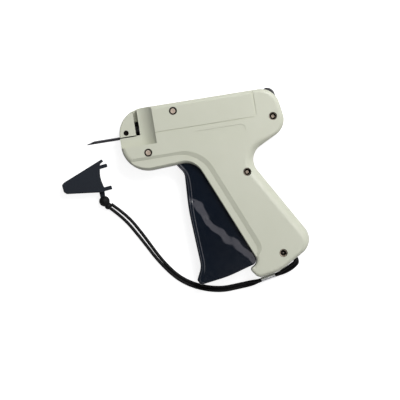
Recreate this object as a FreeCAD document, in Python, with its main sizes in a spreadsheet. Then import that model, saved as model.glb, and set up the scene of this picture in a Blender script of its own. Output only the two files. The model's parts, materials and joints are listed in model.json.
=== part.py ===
import FreeCAD, Part

import math
import os
import re

import Sketcher
from FreeCAD import Placement, Rotation, Vector

# Garment tag attacher, in millimetres. It lies on its right side: +Z points out of the left side, -X is
# the way the needle points, +Y is the top of the tool. The parting plane of the two housing halves stands
# one half_width above the table (z = 0).

doc = FreeCAD.newDocument("TagAttacher")

# ---------------------------------------------------------------------------------------------------
# Driving dimensions
# ---------------------------------------------------------------------------------------------------

SIZES = {
    # moulded housing
    "half_width": 13.0,  # one housing half, from the parting plane to its side face
    "wall_thickness": 2.4,
    "edge_round": 3.0,  # rounding of the side faces' edges
    "back_round": 7.5,  # the same down the back of the grip
    "saddle_round": 5.3,
    "belly_round": 5.5,
    "nose_reach": 53.5,  # front of the nose, ahead of the origin
    "top_height": 72.0,
    "belly_height": 21.7,
    "grip_length": 88.3,
    "band_depth": 1.1,  # lowered band along the belly and the front of the grip
    "groove_depth": 0.6,
    "groove_width": 0.8,
    "groove_end": 1.5,  # width of the groove's upright stretch
    "plate_depth": 0.35,  # bare oblong plate on the left side
    # sunk face of the nose, with the fastener slot
    "sunk_height": 7.0,  # left over between the parting plane and the sunk face
    "slot_width": 3.1,
    "slot_front": 40.5,  # front edge of the slot, ahead of the origin
    "slot_floor": 51.3,
    "channel_length": 10.1,  # room for the bar of a fastener, along the needle
    "channel_half": 0.65,
    # screws and bosses
    "boss_radius": 2.9,
    "pivot_boss": 2.3,  # slimmer boss that the trigger turns on
    "screw_radius": 1.15,
    "screw_head": 2.8,
    "head_height": 2.0,
    "head_pocket": 3.15,
    "shallow_pocket": 2.5,
    "deep_pocket": 6.4,
    "pivot_clearance": 0.05,
    "fixed_gap": 0.02,  # round a pin that stays put in its hole
    # needle and push rod
    "needle_height": 51.2,  # the needle's axis above the origin, along Y
    "needle_radius": 1.2,
    "needle_bore": 0.8,
    "needle_tip": 79.6,
    "needle_slot": 0.7,
    "rod_radius": 0.6,
    "hub_radius": 1.9,
    "pin_radius": 1.2,  # pin that holds the nose plate
    # trigger
    "trigger_half": 8.0,
    "trigger_skin": 2.0,
    "trigger_stroke": 16.0,  # degrees
    "trigger_pin": 1.5,
    "trigger_eye": 3.7,
    "trigger_bead": 2.3,  # raised bead down the front of each side face
    # drive lever and slide
    "lever_half": 1.5,
    "hub_half": 4.0,
    "slide_half": 4.0,  # across the slide, along Z
    "slide_rise": 3.5,  # half of the slide's height
    "slide_rest": 59.0,  # the slide pin's place with the trigger let go
    "slide_travel": 41.0,
    "slide_pin": 1.5,
    "slide_gap": 0.25,
    # feed wheel and pawl
    "wheel_radius": 5.4,
    "ratchet_radius": 3.6,
    "ratchet_width": 1.6,
    "wheel_width": 2.8,
    "wheel_axis": 56.5,
    "wheel_sink": 5.6,  # wheel's axis below the parting plane
    "axle_radius": 1.0,
    "pawl_thickness": 1.0,
    # release button
    "button_half": 6.0,
    "button_gap": 0.25,
    # cap and cord
    "cap_width": 12.0,
    "cap_wall": 1.4,
    "cord_radius": 1.25,
    "anchor_radius": 0.9,
    "ferrule_wall": 0.45,
    "ferrule_length": 11.4,
}

sheet = doc.addObject("Spreadsheet::Sheet", "Sizes")
for row, (alias, value) in enumerate(SIZES.items(), start=1):
    sheet.set(f"A{row}", alias)
    sheet.set(f"B{row}", str(value))
    sheet.setAlias(f"B{row}", alias)
doc.recompute()


def size(alias):
    """A driving dimension, read from the sheet."""
    return float(sheet.get(alias))


def bind(thing, prop, formula):
    """Ties a property to a formula of the sheet's aliases, which all hold an underscore."""
    thing.setExpression(prop, re.sub(r"\b([a-z]+_[a-z]+)\b", r"Sizes.\1", str(formula)))


# ---------------------------------------------------------------------------------------------------
# Places that several pieces share (x, y in the side view)
# ---------------------------------------------------------------------------------------------------

GRIP_RAKE = math.radians(25.0)
GRIP_ROOT = (22.7, 18.0)
HEEL = (
    GRIP_ROOT[0] + size("grip_length") * math.sin(GRIP_RAKE),
    GRIP_ROOT[1] - size("grip_length") * math.cos(GRIP_RAKE),
)
EYE_GAP = 0.2  # between the trigger's eye and the top wall
TRIGGER_PIVOT = (-9.4, size("top_height") - size("wall_thickness") - size("trigger_eye") - EYE_GAP)
NOSE_SCREW = (20.1 - size("nose_reach"), size("belly_height") + 15.0)
LEVER_PIVOT = (42.5 - size("wall_thickness"), 9.9)
TAIL_SCREW = (66.6, 49.5)
HEEL_SCREW = (HEEL[0] - 2.1, HEEL[1] + 5.3)
DRIVE_PIN = (24.0, -32.0)
NOSE_PIN = (5.4 - size("nose_reach"), size("needle_height") + 3.3)
PAWL_PIVOT = (-24.5, 59.0)
WHEEL_X = -size("slot_front") + size("slot_width") / 2
SPRING_POST = (57.5, 42.0)
TRIGGER_TOE = (-9.3, HEEL[1] - 9.3)
MID = size("half_width")
FAR = 40.0  # further than any cut has to reach


def turned(point, centre, degrees):
    """A point of the side view, turned about a centre."""
    angle = math.radians(degrees)
    dx = point[0] - centre[0]
    dy = point[1] - centre[1]
    return (
        centre[0] + dx * math.cos(angle) - dy * math.sin(angle),
        centre[1] + dx * math.sin(angle) + dy * math.cos(angle),
    )


def distance(a, b):
    return math.hypot(a[0] - b[0], a[1] - b[1])


# The trigger's toe is its furthest point from the pivot.
TRIGGER_REACH = distance(TRIGGER_PIVOT, TRIGGER_TOE)

# The lever's fork has to lean from slide_rest to the far end of slide_travel.
FORK_RISE = size("needle_height") - LEVER_PIVOT[1]
LEAN_BACK = math.degrees(math.atan2(size("slide_rest") - LEVER_PIVOT[0], FORK_RISE))
LEAN_FORWARD = math.degrees(
    math.atan2(LEVER_PIVOT[0] - size("slide_rest") + size("slide_travel"), FORK_RISE)
)
LEVER_RATIO = (LEAN_BACK + LEAN_FORWARD) / size("trigger_stroke")

# ---------------------------------------------------------------------------------------------------
# Outlines: straight runs joined by tangent arcs
# ---------------------------------------------------------------------------------------------------


def flat(point, height=0.0):
    return Vector(point[0], point[1], height)


def moved_corners(corners, grow):
    """The corners of an outline that runs grow outside the given one (anticlockwise corners)."""
    moved = []
    count = len(corners)
    for i, (x, y, radius) in enumerate(corners):
        before = corners[i - 1]
        after = corners[(i + 1) % count]
        way_in = Vector(x - before[0], y - before[1], 0).normalize()
        way_out = Vector(after[0] - x, after[1] - y, 0).normalize()
        normal_in = Vector(way_in.y, -way_in.x, 0)
        normal_out = Vector(way_out.y, -way_out.x, 0)
        bisector = normal_in + normal_out
        reach = grow * 2.0 / bisector.dot(bisector)
        convex = way_in.x * way_out.y - way_in.y * way_out.x > 0
        new_radius = radius + grow if convex else radius - grow
        moved.append((x + bisector.x * reach, y + bisector.y * reach, max(new_radius, 0.0)))
    return moved


def corner_arcs(corners):
    """Start, middle and end of each corner's arc; a sharp corner has no middle."""
    count = len(corners)
    arcs = []
    for i, (x, y, radius) in enumerate(corners):
        here = Vector(x, y, 0)
        before = Vector(corners[i - 1][0], corners[i - 1][1], 0)
        after = Vector(corners[(i + 1) % count][0], corners[(i + 1) % count][1], 0)
        way_in = (here - before).normalize()
        way_out = (after - here).normalize()
        turn = way_in.getAngle(way_out)
        if radius < 1e-6 or turn < 1e-6:
            arcs.append((here, None, here))
            continue
        run = radius * math.tan(turn / 2)
        inwards = (way_out - way_in).normalize()
        middle = here + inwards * (radius / math.cos(turn / 2) - radius)
        arcs.append((here - way_in * run, middle, here + way_out * run))
    return arcs


def outline(corners, grow=0.0):
    """The closed outline of corners (x, y, radius), as line segments and arcs."""
    if grow:
        corners = moved_corners(corners, grow)
    arcs = corner_arcs(corners)
    curves = []
    for i, (start, middle, end) in enumerate(arcs):
        if middle is not None:
            curves.append(Part.Arc(start, middle, end))
        following = arcs[(i + 1) % len(arcs)][0]
        if (following - end).Length > 1e-6:
            curves.append(Part.LineSegment(end, following))
    return curves


def circle(centre, radius):
    return [Part.Circle(flat(centre), Vector(0, 0, 1), radius)]


def rectangle(x0, y0, x1, y1, radius=0.0):
    return outline([(x0, y0, radius), (x1, y0, radius), (x1, y1, radius), (x0, y1, radius)])


def polygon(points):
    return outline([(x, y, 0.0) for x, y in points])


# ---------------------------------------------------------------------------------------------------
# Bodies, sketches, pads and pockets
# ---------------------------------------------------------------------------------------------------

cuts = []
pieces = []


def keep(piece, label):
    """Names a finished sub-part, which is written to a file of that name."""
    piece.Label = label
    pieces.append(piece)
    return piece


def new_body(label):
    return keep(doc.addObject("PartDesign::Body", label), label)


def origin_plane(body, role):
    return next(f for f in body.Origin.OriginFeatures if f.Role == role)


def draw(sketch, curves):
    """Puts curves into a sketch and holds them where they are."""
    for curve in curves:
        index = sketch.addGeometry(curve, False)
        sketch.addConstraint(Sketcher.Constraint("Block", index))


def new_sketch(body, name, outlines, height, plane="XY_Plane"):
    """A sketch of closed outlines, lifted off one of the body's own planes by a formula."""
    sketch = body.newObject("Sketcher::SketchObject", name)
    sketch.AttachmentSupport = [(origin_plane(body, plane), "")]
    sketch.MapMode = "FlatFace"
    bind(sketch, "AttachmentOffset.Base.z", height)
    draw(sketch, [curve for shape in outlines for curve in shape])
    return sketch


def add_pad(body, name, outlines, low, high, plane="XY_Plane"):
    """Material between two heights, given as formulas along the plane's normal."""
    sketch = new_sketch(body, f"{body.Label}_{name}_sketch", outlines, low, plane)
    pad = body.newObject("PartDesign::Pad", f"{body.Label}_{name}")
    pad.Profile = sketch
    bind(pad, "Length", f"({high}) - ({low})")
    return pad


def add_pocket(body, name, outlines, low, high, plane="XY_Plane"):
    """A cut from the high height down to the low one."""
    sketch = new_sketch(body, f"{body.Label}_{name}_sketch", outlines, high, plane)
    pocket = body.newObject("PartDesign::Pocket", f"{body.Label}_{name}")
    pocket.Profile = sketch
    bind(pocket, "Length", f"({high}) - ({low})")
    cuts.append(pocket)
    return pocket


def edges_where(shape, test):
    """Names of the edges whose every point along them passes a test."""
    names = []
    for i, edge in enumerate(shape.Edges, start=1):
        points = [edge.valueAt(edge.FirstParameter + f * (edge.LastParameter - edge.FirstParameter))
                  for f in (0.05, 0.5, 0.95)]
        if all(test(p) for p in points):
            names.append(f"Edge{i}")
    return names


def add_fillet(body, base, name, radius, test):
    doc.recompute()
    fillet = body.newObject("PartDesign::Fillet", f"{body.Label}_{name}")
    fillet.Base = (base, edges_where(base.Shape, test))
    bind(fillet, "Radius", radius)
    return fillet


def add_chamfer(body, base, name, amount, test):
    doc.recompute()
    chamfer = body.newObject("PartDesign::Chamfer", f"{body.Label}_{name}")
    chamfer.Base = (base, edges_where(base.Shape, test))
    bind(chamfer, "Size", amount)
    return chamfer


def near(value, wanted, slack=0.01):
    return abs(value - wanted) < slack


def cylinder(label, radius, length, base, axis=(0, 0, 1)):
    """A pin: a Part::Cylinder from its base, along an axis; radius and length are formulas."""
    pin = doc.addObject("Part::Cylinder", label)
    bind(pin, "Radius", radius)
    bind(pin, "Height", length)
    pin.Placement = Placement(Vector(*base), Rotation(Vector(0, 0, 1), Vector(*axis)))
    return pin


def solid_piece(label, shape):
    """A sub-part whose shape is made with Part's own functions."""
    piece = doc.addObject("Part::Feature", label)
    piece.Shape = shape
    return keep(piece, label)


# ---------------------------------------------------------------------------------------------------
# The housing's side view
# ---------------------------------------------------------------------------------------------------


def housing_corners():
    """Corners of the housing, anticlockwise from the top of the nose: belly, grip, tail, back to the top."""
    nose = -size("nose_reach")
    top = size("top_height")
    belly = size("belly_height")
    return [
        (nose, top, 20.0),
        (nose, belly, 21.0),
        (1.6, belly + 2.9, 14.0),
        (HEEL[0] - 21.9, HEEL[1] + 0.6, 5.5),
        (HEEL[0] - 30.0, HEEL[1] - 3.0, 2.3),
        (HEEL[0] - 24.0, HEEL[1] - 11.0, 6.0),
        (HEEL[0] - 6.8, HEEL[1] - 8.2, 35.0),
        (HEEL[0] + 24.5, HEEL[1] + 10.2, 13.4),
        (41.1, 22.2, 12.9),
        (76.1, 39.8, 14.0),
        (71.0, top, 15.0),
    ]


def housing_rounds():
    """Rounding of the side face's edge where each corner's arc starts and ends, in the corners' order."""
    common = size("edge_round")
    belly = size("belly_round")
    back = size("back_round")
    toe = 2.0
    return [
        (common, common),
        (common, belly),
        (belly, common),
        (common, toe),
        (toe, toe),
        (toe, common),
        (common, common),
        (common, back),
        (back, size("saddle_round")),
        (common, common),
        (common, common),
    ]


def back_strip():
    """Strip inside the grip's back that keeps the wall thick behind the wide rounding."""
    wall = size("wall_thickness")
    rims = []
    for inset in (wall - 0.1, wall + 1.8):
        corners = moved_corners(housing_corners(), -inset)
        below, heel, saddle, tail = corners[6:10]
        start = [heel[i] + 0.5 * (below[i] - heel[i]) for i in range(2)]
        end = [saddle[i] + 0.55 * (tail[i] - saddle[i]) for i in range(2)]
        rims.append([(*start, 0.0), heel, saddle, (*end, 0.0)])
    return outline(rims[0] + rims[1][::-1])


CAVITY_FRONT = -22.0


def cavity_corners():
    """The hollow of the housing: as the outside, but it stops behind the nose block."""
    corners = housing_corners()
    front = CAVITY_FRONT - size("wall_thickness")
    belly_rise = (corners[2][1] - corners[1][1]) / (corners[2][0] - corners[1][0])
    front_y = corners[1][1] + belly_rise * (front - corners[1][0])
    corners[0] = (front, corners[0][1], 4.0)
    corners[1] = (front, front_y, 4.0)
    return corners


def trigger_way():
    """Region that the trigger swings through: the belly behind the trigger's front and the grip's front."""
    reach = TRIGGER_REACH + 0.7
    px, py = TRIGGER_PIVOT

    def on_sweep(x):
        return (x, py - math.sqrt(reach**2 - (x - px) ** 2))

    low_front = on_sweep(5.0)
    low_back = on_sweep(HEEL[0] - 18.5)
    low_middle = on_sweep((low_front[0] + low_back[0]) / 2)
    front = (-17.0, 27.5)
    run = [low_back, (9.5, 21.5), (2.0, 27.5), front, (front[0], 5.0), low_front]
    curves = [Part.LineSegment(flat(a), flat(b)) for a, b in zip(run, run[1:])]
    curves.append(Part.Arc(flat(low_front), flat(low_middle), flat(low_back)))
    return curves


# slope between the band and the full height: half of it across the grip, and across the belly
GRIP_SLOPE = 2.2
BELLY_SLOPE = 1.2


def band_corners(level):
    """The lowered band, reaching outside the housing; its inner line is the slope's foot (-1) or top (+1)."""
    across = level * GRIP_SLOPE
    up = level * BELLY_SLOPE
    line = size("belly_height") + 10.9 + up
    return [
        (-58.0, 26.0, 0.0),
        (-58.0, 5.0, 0.0),
        (-8.0, 10.0, 0.0),
        (20.0, -75.0, 0.0),
        (HEEL[0] - 29.0, HEEL[1] + 2.5, 0.0),
        (HEEL[0] - 24.8, HEEL[1] + 0.6, 0.0),
        (HEEL[0] - 19.0 + across, HEEL[1] + 12.5, 8.0),
        (6.4 + across - 0.42 * up, line, 26.0),
        (-46.5, line, 3.0),
    ]


def groove_path():
    """Line of the shallow groove round the top panel of the left side."""
    bottom = size("needle_height")
    wide = size("groove_width")
    end = size("groove_end")
    right = 53.6
    left = -25.6
    top = size("top_height") + 5.0
    return [
        (left - 5.0, bottom - wide / 2, 0.0),
        (right + end / 2, bottom - wide / 2, 3.6),
        (right + end / 2, top, 0.0),
        (right - end / 2, top, 0.0),
        (right - end / 2, bottom + wide / 2, 2.2),
        (left - 5.0, bottom + wide / 2, 0.0),
    ]


# the release button's own frame: centre of its chord, pointing outwards over the corner
BUTTON_ANGLE = 32.7
BUTTON_CENTRE = (68.0, size("top_height") - 6.6)


def button_point(out, along):
    """A point at a distance out of the housing and along the button's chord (upwards is positive)."""
    angle = math.radians(BUTTON_ANGLE)
    return (
        BUTTON_CENTRE[0] + out * math.cos(angle) - along * math.sin(angle),
        BUTTON_CENTRE[1] + out * math.sin(angle) + along * math.cos(angle),
    )


def button_box(out_low, out_high, half):
    return polygon(
        [
            button_point(out_low, -half),
            button_point(out_high, -half),
            button_point(out_high, half),
            button_point(out_low, half),
        ]
    )


CORD_HOLE = (HEEL[0] + 7.6, HEEL[1] - 0.2)
CORD_WAY = (0.523, -0.853)  # out of the grip, square to its bottom edge
ANCHOR = (CORD_HOLE[0] - 3.6 * CORD_WAY[0], CORD_HOLE[1] - 3.6 * CORD_WAY[1])
CHANNEL_FRONT = -44.1
SLIT_HALF = 0.45  # the filament's slit, from the nose back to the fastener slot
AXLE_FRONT = -3.9  # ends of the feed wheel's axle, from the middle of the wheel
AXLE_BACK = 4.8
LEAF_START = (CAVITY_FRONT + 0.1, 55.2)  # middle line of the pawl's leaf spring
LEAF_END = (-12.8, 57.75)
LEAF_THICK = 0.4


# ---------------------------------------------------------------------------------------------------
# Housing halves
# ---------------------------------------------------------------------------------------------------


def rounded_block(label, low, high, face):
    """The housing's outline between two heights; the rounding of its edge at the face changes along it."""
    profile = doc.addObject("Sketcher::SketchObject", f"{label}_profile")
    bind(profile, "Placement.Base.z", low)
    draw(profile, outline(housing_corners()))
    block = doc.addObject("Part::Extrusion", f"{label}_block")
    block.Base = profile
    block.DirMode = "Normal"
    block.Solid = True
    bind(block, "LengthFwd", f"({high}) - ({low})")
    doc.recompute()
    stations = []
    for (start, _, end), (round_in, round_out) in zip(corner_arcs(housing_corners()), housing_rounds()):
        stations += [(start, round_in), (end, round_out)]

    def round_at(point):
        return min(stations, key=lambda station: distance(station[0], point))[1]

    edges = []
    for i, edge in enumerate(block.Shape.Edges, start=1):
        first, last = edge.Vertexes[0].Point, edge.Vertexes[-1].Point
        if near(first.z, face) and near(last.z, face):
            edges.append((i, round_at(first), round_at(last)))
    rounded = doc.addObject("Part::Fillet", f"{label}_rounded")
    rounded.Base = block
    rounded.Edges = edges
    return rounded


def add_housing(label, side):
    """One housing half; side is +1 for the left half (above the parting plane), -1 for the right."""
    body = new_body(label)

    def layer(low, high):
        """Formulas of a layer that lies low..high out from the parting plane."""
        if side > 0:
            return f"half_width + ({low})", f"half_width + ({high})"
        return f"half_width - ({high})", f"half_width - ({low})"

    def pad(name, outlines, low, high):
        return add_pad(body, name, outlines, *layer(low, high))

    def pocket(name, outlines, low, high):
        return add_pocket(body, name, outlines, *layer(low, high))

    body.BaseFeature = rounded_block(label, *layer("0", "half_width"), MID + side * size("half_width"))
    doc.recompute()

    # lowered band, with a sloping step between the two levels
    low, high = layer("half_width - band_depth", "half_width + 0.05")
    floor, above = (low, high) if side > 0 else (high, low)
    loft = body.newObject("PartDesign::SubtractiveLoft", f"{label}_band")
    loft.Profile = new_sketch(body, f"{label}_band_floor", [outline(band_corners(-1))], floor)
    loft.Sections = [new_sketch(body, f"{label}_band_edge", [outline(band_corners(1))], above)]
    loft.Ruled = True
    cuts.append(loft)

    pocket("hollow", [outline(cavity_corners(), -size("wall_thickness"))], "0", "half_width - wall_thickness")
    pocket("trigger_way", [trigger_way()], "0", "trigger_half + 0.5")

    # bosses, the sleeves round the deep screw pockets, and the slide's rails
    inside = "half_width - wall_thickness + 0.2"
    screws = (LEVER_PIVOT, TAIL_SCREW, HEEL_SCREW)
    pad("bosses", [circle(c, size("boss_radius")) for c in screws], "0", inside)
    pad("pivot_boss", [circle(TRIGGER_PIVOT, size("pivot_boss"))], "0", inside)
    pad("back_corner", [back_strip()], "trigger_half + 0.5", inside)
    rail_in = size("slide_rise") + size("slide_gap")
    rail_out = rail_in + 1.5
    height = size("needle_height")
    rail_front = size("slide_rest") - size("slide_travel") - 15.0
    rail_back = size("slide_rest") + 3.0
    rails = [
        rectangle(rail_front, height + rail_in, rail_back, height + rail_out),
        rectangle(rail_front, height - rail_out, rail_back, height - rail_in),
    ]
    pad("rails", rails, "slide_half - 1.3", inside)
    webs = [
        rectangle(x, height - rail_out + 0.3, x + 1.2, height + rail_out - 0.3)
        for x in (rail_front + 2.0, rail_front + 20.0, rail_front + 38.0, rail_back - 4.0)
    ]
    pad("rail_webs", webs, "slide_half + slide_gap", inside)

    # the cord's hole through the bottom seam, and the posts that its anchor pin lies across
    across = (-CORD_WAY[1], CORD_WAY[0])

    def cord_frame(out, along):
        return (
            CORD_HOLE[0] + out * CORD_WAY[0] + along * across[0],
            CORD_HOLE[1] + out * CORD_WAY[1] + along * across[1],
        )

    toe_side = -size("cord_radius") - 1.5
    tail_side = size("cord_radius") + 0.25
    hole = [cord_frame(-3.2, toe_side), cord_frame(4.0, toe_side), cord_frame(4.0, tail_side),
            cord_frame(-3.2, tail_side)]
    pocket("cord_hole", [polygon(hole)], "0", "anchor_radius + 2 * cord_radius + 0.4")
    anchor_blocks = []
    for start, end in ((-5.6, -2.2), (2.2, 5.6)):
        corners = [cord_frame(-5.4, start), cord_frame(-5.4, end), cord_frame(-1.2, end), cord_frame(-1.2, start)]
        anchor_blocks.append(polygon(corners[::-1]))
    pad("anchor_posts", anchor_blocks, "0", inside)
    pad("button_seat", [button_box(-12.2, -11.0, 2.6)], "0", inside)

    if side > 0:
        finish_left(body, pocket, pad)
    else:
        finish_right(body, pocket, pad)

    # the anchor pin lies in the seam, half in each half
    groove = cylinder(f"{label}_anchor_seat", "anchor_radius + pivot_clearance", 8.0, (0, 0, 0))
    place_anchor(groove, 4.0)
    return body, groove


def place_anchor(pin, half):
    """Lays a pin along the seam, square to the way the cord leaves."""
    across = Vector(-CORD_WAY[1], CORD_WAY[0], 0)
    base = Vector(ANCHOR[0], ANCHOR[1], MID) - across * half
    pin.Placement = Placement(base, Rotation(Vector(0, 0, 1), across))


def finish_left(body, pocket, pad):
    """Nose, screw pockets and plate of the left half."""
    needle = size("needle_height")
    front = -FAR - 30.0
    # sunk face of the nose: flat, then a cove up to the full width
    flat_end = -36.6
    cove_end = -25.6
    sunk = size("half_width") + size("sunk_height")
    full = 2 * size("half_width") + 1.0
    rise = size("half_width") - size("sunk_height")
    run = cove_end - flat_end
    bend = (run**2 + rise**2) / (2 * rise)
    half_angle = math.atan2(rise, run)
    middle = (flat_end + bend * math.sin(half_angle), sunk + bend * (1 - math.cos(half_angle)))
    top = (cove_end, 2 * size("half_width"))
    cove = [
        Part.LineSegment(flat((front, sunk)), flat((flat_end, sunk))),
        Part.Arc(flat((flat_end, sunk)), flat(middle), flat(top)),
        Part.LineSegment(flat(top), flat((cove_end, full))),
        Part.LineSegment(flat((cove_end, full)), flat((front, full))),
        Part.LineSegment(flat((front, full)), flat((front, sunk))),
    ]
    # a pocket from the XZ plane runs towards +Y: the sketch lies at the sunk face's lower edge
    ledge = needle - 8.2
    sketch = new_sketch(body, "sunk_face_sketch", [cove], f"-({ledge})", "XZ_Plane")
    sunk_face = body.newObject("PartDesign::Pocket", "sunk_face")
    sunk_face.Profile = sketch
    bind(sunk_face, "Length", f"top_height + 5 - ({ledge})")
    cuts.append(sunk_face)

    add_groove = [outline(groove_path())]
    pocket("panel_groove", add_groove, "half_width - groove_depth", "half_width + 1")
    plate = rectangle(3.0, 39.5, 44.1, 47.3, 3.4)
    pocket("bare_plate", [plate], "half_width - plate_depth", "half_width + 1")

    # room for the nose plate, the fastener slot and the channel for the fasteners' bars
    seam_x = -size("slot_front") - 0.1
    seam_y = needle - SLIT_HALF
    nose_room = rectangle(front, seam_y, seam_x, size("top_height") + 5.0)
    pocket("nose_plate_room", [nose_room], "0", "half_width + 1")
    slot = rectangle(-size("slot_front") - 0.2, size("slot_floor"),
                     -size("slot_front") + size("slot_width"), size("top_height") + 5.0)
    pocket("fastener_slot", [slot], "0", "half_width")
    pocket("bar_channel", [bar_channel()], "0", "channel_half")
    cut_rod_way(body)
    cut_needle_seat(body)

    # screws: sleeves for the deep pockets, then pockets and clearance holes
    deep = (LEVER_PIVOT, TAIL_SCREW, HEEL_SCREW)
    sleeve = size("head_pocket") + 1.05
    pad("screw_sleeves", [circle(c, sleeve) for c in deep], "half_width - deep_pocket - 1.0",
        "half_width - wall_thickness + 0.2")
    pad("pivot_sleeve", [circle(TRIGGER_PIVOT, 3.9)], "trigger_half + 0.3", "half_width - wall_thickness + 0.2")
    pocket("deep_pockets", [circle(c, size("head_pocket")) for c in deep],
           "half_width - deep_pocket", "half_width + 1")
    pocket("shallow_pockets", [circle(c, size("head_pocket")) for c in (TRIGGER_PIVOT, NOSE_SCREW)],
           "half_width - shallow_pocket", "half_width + 1")
    holes = [circle(c, size("screw_radius") + 0.15) for c in deep + (TRIGGER_PIVOT, NOSE_SCREW)]
    pocket("screw_holes", holes, "0", "half_width")
    pad("spring_post", [circle(SPRING_POST, 1.5)], "lever_half + 0.5", "half_width - wall_thickness + 0.2")
    cut_button_opening(pocket)


def finish_right(body, pocket, pad):
    """Nose block, wheel room and pilot holes of the right half."""
    pocket("bar_channel", [bar_channel()], "0", "channel_half")
    cut_rod_way(body)
    axis = size("wheel_axis")
    half = size("wheel_width") / 2 + 0.3
    room = size("wheel_radius") + 0.4
    wheel_room = rectangle(WHEEL_X - half, axis - room, WHEEL_X + half, axis + room)
    pocket("wheel_room", [wheel_room], "0", "wheel_sink + wheel_radius + 0.4")
    ratchet_end = WHEEL_X + size("wheel_width") / 2 + size("ratchet_width") + 0.3
    room = size("ratchet_radius") + 0.4
    pocket("ratchet_room", [rectangle(WHEEL_X, axis - room, ratchet_end, axis + room)], "0",
           "wheel_sink + ratchet_radius + 0.4")
    axle = circle((axis, MID - size("wheel_sink")), size("axle_radius") + size("fixed_gap"))
    add_pocket(body, "axle_bore", [axle], WHEEL_X + AXLE_FRONT, WHEEL_X + AXLE_BACK, "YZ_Plane")
    pawl_room = outline(
        [(WHEEL_X + 1.0, axis - 2.0, 0.0), (CAVITY_FRONT + 2.0, axis - 2.0, 0.0),
         (CAVITY_FRONT + 2.0, axis + 7.0, 0.0), (WHEEL_X + 1.0, axis + 7.0, 0.0)]
    )
    pocket("pawl_room", [pawl_room], "0", "pawl_thickness + 1.1")
    pocket("pawl_pin_hole", [circle(PAWL_PIVOT, size("axle_radius") + size("fixed_gap"))], "0", "8")
    pocket("nose_pin_hole", [circle(NOSE_PIN, size("pin_radius") + size("fixed_gap"))], "0", "9")
    cut_needle_seat(body)
    leaf_foot = LEAF_START[1] - LEAF_THICK / 2 - 0.06
    pad("leaf_rest", [rectangle(CAVITY_FRONT - 0.2, leaf_foot - 1.0, CAVITY_FRONT + 1.8, leaf_foot)], "0.2",
        "half_width - wall_thickness + 0.2")
    screws = (LEVER_PIVOT, TAIL_SCREW, HEEL_SCREW, TRIGGER_PIVOT, NOSE_SCREW)
    pocket("pilot_holes", [circle(c, size("screw_radius")) for c in screws], "0", "8")
    cut_button_opening(pocket)


def bar_channel():
    """Side view of the channel that the fasteners' bars come down."""
    left = CHANNEL_FRONT
    return rectangle(left, size("needle_height") - 0.75, left + size("channel_length"), size("top_height") + 5.0)


def cut_needle_seat(body):
    """Seat of the needle's hub, and the hole that the needle leaves through."""
    hub = circle((size("needle_height"), MID), size("hub_radius") + 0.05)
    add_pocket(body, "hub_seat", [hub], -size("nose_reach") + 0.8, CHANNEL_FRONT, "YZ_Plane")
    neck = circle((size("needle_height"), MID), size("needle_radius") + 0.05)
    add_pocket(body, "needle_way", [neck], -size("nose_reach") - 2.0, CHANNEL_FRONT, "YZ_Plane")


def cut_rod_way(body):
    """Round way for the push rod through the nose block."""
    way = circle((size("needle_height"), MID), size("rod_radius") + 0.15)
    add_pocket(body, "rod_way", [way], CHANNEL_FRONT, CAVITY_FRONT + 2.0, "YZ_Plane")


BUTTON_CHORD = 7.9


def cut_button_opening(pocket):
    half = BUTTON_CHORD + size("button_gap")
    pocket("button_opening", [button_box(-5.4, 8.0, half)], "0", "button_half + button_gap")


left_body, left_seat = add_housing("housing_left_body", 1)
right_body, right_seat = add_housing("housing_right_body", -1)
for body, seat, label in ((left_body, left_seat, "housing_left"), (right_body, right_seat, "housing_right")):
    pieces.remove(body)
    half = doc.addObject("Part::Cut", label)
    half.Base = body
    half.Tool = seat
    keep(half, label)

# ---------------------------------------------------------------------------------------------------
# Screws
# ---------------------------------------------------------------------------------------------------


def screw(centre, depth):
    """A cross-recessed screw: shank down into the right half, head on its pocket's floor."""
    floor = 2 * MID - depth
    top = floor + size("head_height")
    tip = MID - 7.5
    solid = Part.makeCylinder(size("screw_radius"), floor - tip + 0.5, Vector(0, 0, tip))
    solid = solid.fuse(Part.makeCylinder(size("screw_head"), size("head_height"), Vector(0, 0, floor)))
    for turn in (20, 110):
        bar = Part.makeBox(3.0, 0.7, 3.0, Vector(-1.5, -0.35, top - 1.0))
        bar.rotate(Vector(0, 0, 0), Vector(0, 0, 1), turn)
        solid = solid.cut(bar)
    solid.translate(flat(centre))
    return solid.removeSplitter()


screw_places = [(TRIGGER_PIVOT, "shallow_pocket"), (NOSE_SCREW, "shallow_pocket")]
screw_places += [(c, "deep_pocket") for c in (LEVER_PIVOT, TAIL_SCREW, HEEL_SCREW)]
solid_piece("housing_screws", Part.makeCompound([screw(c, size(depth)) for c, depth in screw_places]))

# ---------------------------------------------------------------------------------------------------
# Nose: plate, pin, needle hub, needle, cutter blade
# ---------------------------------------------------------------------------------------------------


def nose_plate_outline():
    """Quarter disc between the needle seam, the slot and the round of the nose."""
    nose = -size("nose_reach")
    centre = (nose + 20.0, size("top_height") - 20.0)
    right = -size("slot_front") - 0.15
    low = size("needle_height") + SLIT_HALF
    round_top = centre[1] + math.sqrt(20.0**2 - (right - centre[0]) ** 2)
    lean = math.radians(150.0)
    middle = (centre[0] + 20.0 * math.cos(lean), centre[1] + 20.0 * math.sin(lean))
    return [
        Part.LineSegment(flat((nose, low)), flat((right, low))),
        Part.LineSegment(flat((right, low)), flat((right, round_top))),
        Part.Arc(flat((right, round_top)), flat(middle), flat((nose, centre[1]))),
        Part.LineSegment(flat((nose, centre[1])), flat((nose, low))),
    ]


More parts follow.
